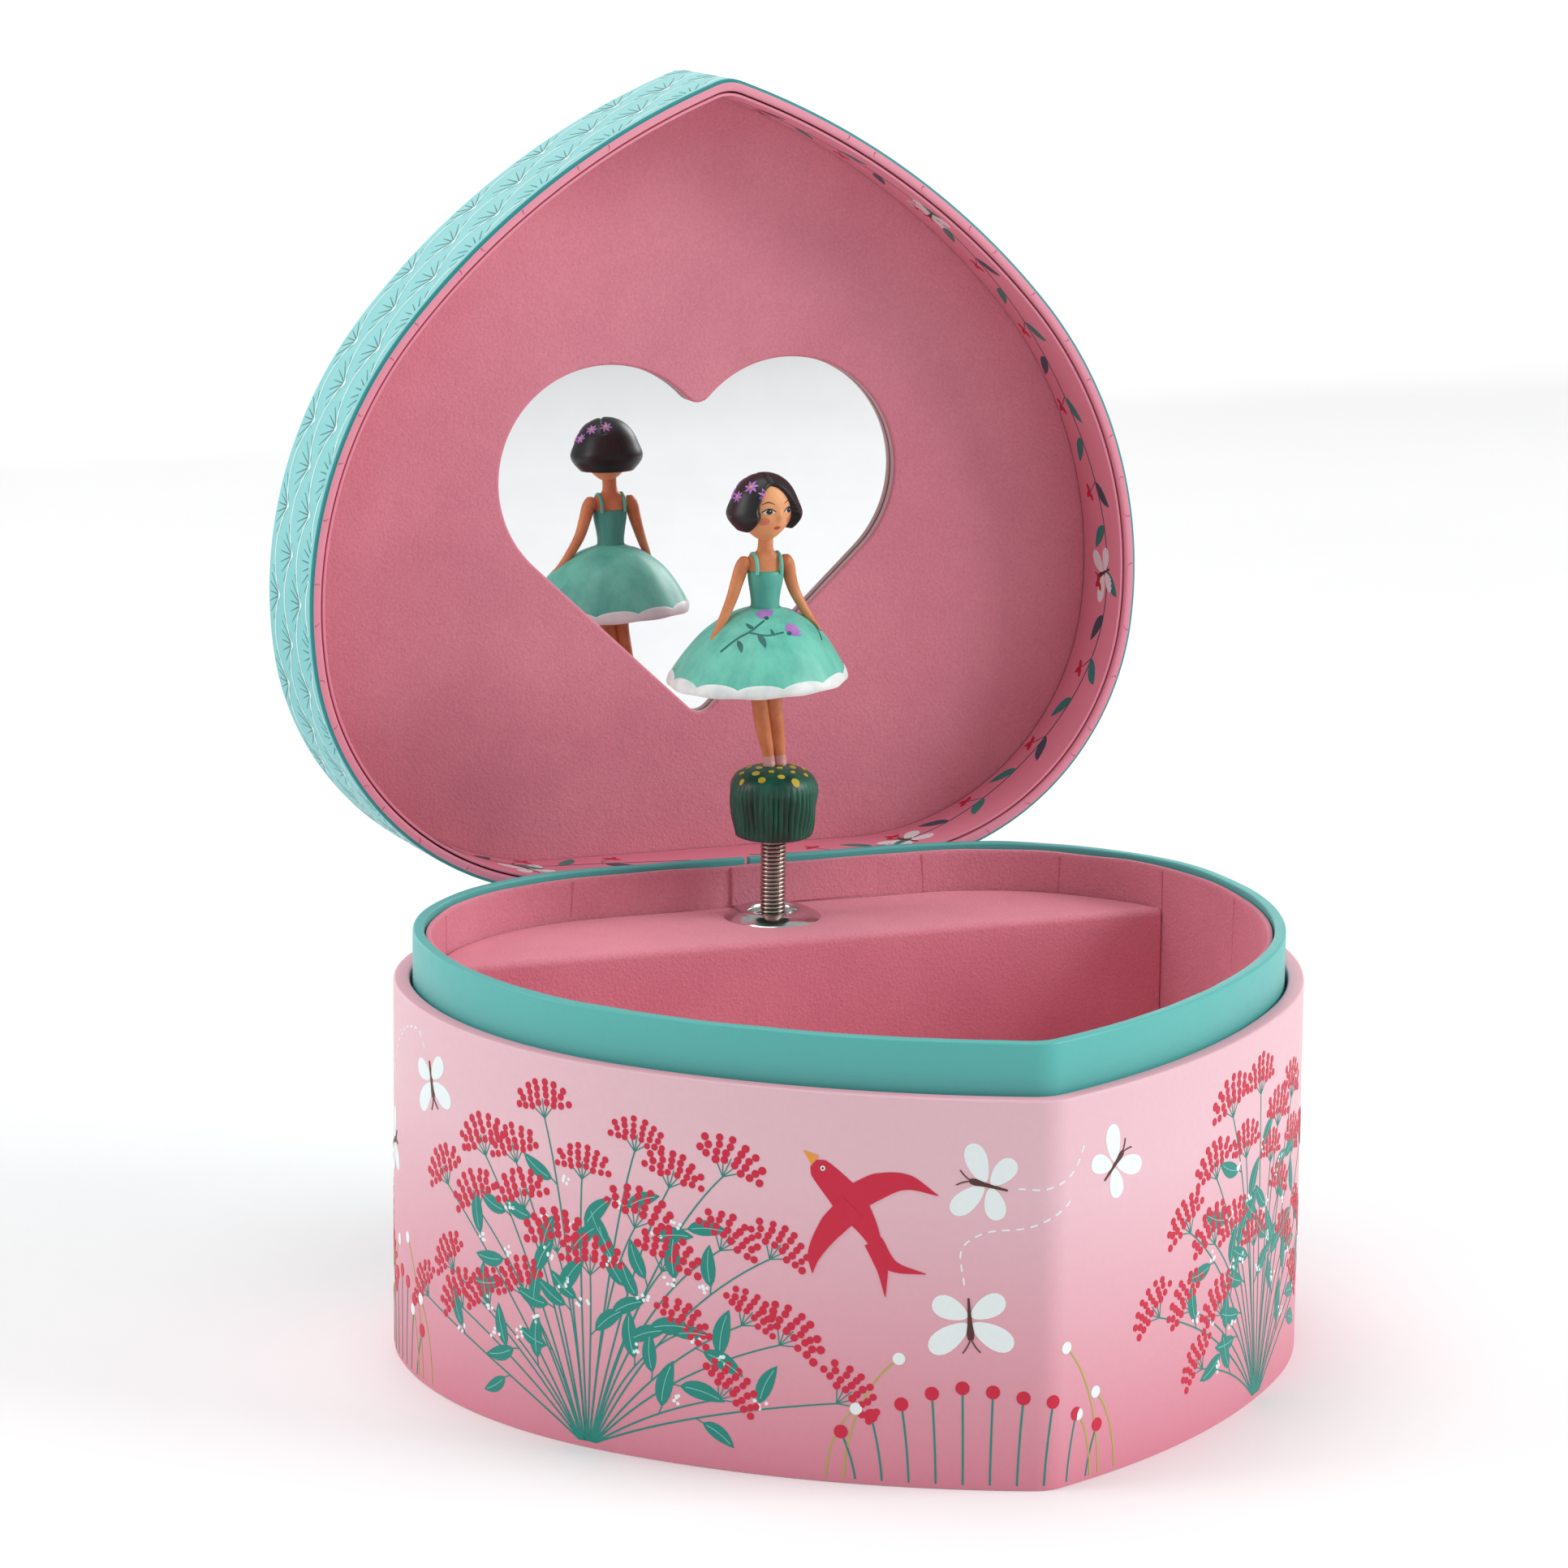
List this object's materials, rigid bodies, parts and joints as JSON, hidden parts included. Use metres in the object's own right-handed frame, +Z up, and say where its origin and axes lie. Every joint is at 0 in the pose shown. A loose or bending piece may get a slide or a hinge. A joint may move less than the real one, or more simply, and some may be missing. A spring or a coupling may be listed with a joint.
{
  "type": "wind-up music box",
  "caption": "Petal-shaped card jewellery box with a mirrored lid, a turning dancer on a spring and a wind-up comb movement under the ledge.",
  "frame": {"origin": "on the table, under the middle of the whole object's box with the lid open", "axes": "+Z up, +Y towards the hinged back, -Y towards the tip, +X to the right seen from the tip"},
  "size_m": [0.16, 0.1826, 0.215],
  "materials": {
    "printed_card": "printed paper over card, satin",
    "collar_card": "coated paper over card, satin",
    "flocked_board": "short flock",
    "grey_board": "raw",
    "lid_card": "printed paper over card, satin",
    "lining_paper": "printed, satin",
    "mirror_glass": "polished",
    "plated_steel": "nickel plated",
    "spring_steel": "bright wire",
    "chrome_eyelet": "polished",
    "brass_parts": "satin",
    "die_cast_zinc": "as cast",
    "pedestal_paint": "painted, satin",
    "painted_resin": "hand painted",
    "white_plastic": "moulded"
  },
  "bodies": {
    "case": {"outer_box": "printed_card", "base_board": "grey_board", "inner_collar": "collar_card", "collar_lining": "flocked_board", "tray_floor": "flocked_board", "ledge_cover": "flocked_board", "floor_riser_left": "grey_board", "floor_riser_right": "grey_board", "eyelet": "chrome_eyelet", "eyelet_washer": "plated_steel", "hinge_case_leaf_left": "plated_steel", "hinge_case_leaf_right": "plated_steel", "hinge_pin_left": "plated_steel", "hinge_pin_right": "plated_steel", "bedplate": "die_cast_zinc", "movement_screw_1": "plated_steel", "movement_screw_2": "plated_steel", "movement_screw_3": "plated_steel", "bearing_plate_left": "die_cast_zinc", "bearing_plate_right": "die_cast_zinc", "comb": "spring_steel", "comb_screw_1": "plated_steel", "comb_screw_2": "plated_steel", "governor_frame": "die_cast_zinc", "lever_clip": "plated_steel", "clutch_spring": "spring_steel"},
    "lid": {"lid_shell": "lid_card", "lid_wall_lining": "lining_paper", "lid_panel": "flocked_board", "panel_spacer": "grey_board", "mirror": "mirror_glass", "mirror_backing": "grey_board", "hinge_lid_leaf_left": "plated_steel", "hinge_lid_leaf_right": "plated_steel"},
    "spring_mast": {"dancer_spring": "spring_steel"},
    "spring_tip": {"ferrule": "spring_steel"},
    "dancer": {"pedestal": "pedestal_paint", "dancer_figure": "painted_resin"},
    "barrel_drum": {"barrel": "brass_parts", "barrel_cap": "brass_parts", "mainspring": "spring_steel", "dancer_spindle": "brass_parts"},
    "cylinder": {"pinned_cylinder": "brass_parts", "cylinder_arbor": "plated_steel", "cylinder_pinion": "brass_parts", "drive_wheel": "brass_parts"},
    "governor_shaft": {"governor_arbor": "plated_steel", "governor_pinion": "brass_parts", "worm_wheel": "white_plastic"},
    "fly_shaft": {"governor_worm": "spring_steel", "governor_fly": "white_plastic"},
    "winder": {"winding_key": "die_cast_zinc", "winding_arbor": "plated_steel"},
    "stop_lever": {"stop_lever": "plated_steel"}
  },
  "joints": [
    {"name": "lid_hinge", "type": "hinge", "parent": "case", "child": "lid", "pos_m": [0, 0.05755, 0.0663], "axis": [1, 0, 0], "range_deg": [0, 92.35]},
    {"name": "spring_bend_lower", "type": "hinge", "parent": "case", "child": "spring_mast", "pos_m": [0, 0.03875, 0.0686], "axis": [1, 0, 0], "range_deg": [0, 47.5], "deforming": ["dancer_spring"]},
    {"name": "spring_bend_upper", "type": "hinge", "parent": "spring_mast", "child": "spring_tip", "pos_m": [0, 0.03875, 0.0806], "axis": [1, 0, 0], "range_deg": [0, 55.5]},
    {"name": "dancer_spin", "type": "hinge", "parent": "spring_tip", "child": "dancer", "pos_m": [0, 0.03875, 0.081], "axis": [0, 0, 1], "continuous": true},
    {"name": "barrel_spin", "type": "hinge", "parent": "case", "child": "barrel_drum", "pos_m": [0, 0.03875, 0.0253], "axis": [0, 0, 1], "continuous": true},
    {"name": "cylinder_spin", "type": "hinge", "parent": "case", "child": "cylinder", "pos_m": [0.02, 0.03875, 0.03692], "axis": [1, 0, 0], "continuous": true},
    {"name": "governor_spin", "type": "hinge", "parent": "case", "child": "governor_shaft", "pos_m": [0.035, 0.03875, 0.02892], "axis": [1, 0, 0], "continuous": true},
    {"name": "fly_spin", "type": "hinge", "parent": "case", "child": "fly_shaft", "pos_m": [0.0364, 0.0333, 0.02892], "axis": [0, 0, 1], "continuous": true},
    {"name": "key_turn", "type": "hinge", "parent": "case", "child": "winder", "pos_m": [0, 0.03875, 0.008], "axis": [0, 0, 1], "continuous": true},
    {"name": "stop_lever_pivot", "type": "hinge", "parent": "case", "child": "stop_lever", "pos_m": [0, 0.04655, 0.0438], "axis": [1, 0, 0], "range_deg": [0, 3.9]}
  ],
  "couplings": [
    {"joint": "spring_bend_lower", "follows": "lid_hinge", "ratio": 0.51435},
    {"joint": "spring_bend_upper", "follows": "lid_hinge", "ratio": 0.60097},
    {"joint": "stop_lever_pivot", "follows": "lid_hinge", "ratio": 0.04223},
    {"joint": "dancer_spin", "follows": "barrel_spin", "ratio": 1},
    {"joint": "cylinder_spin", "follows": "barrel_spin", "ratio": 2},
    {"joint": "governor_spin", "follows": "barrel_spin", "ratio": -8},
    {"joint": "fly_spin", "follows": "barrel_spin", "ratio": -160}
  ]
}
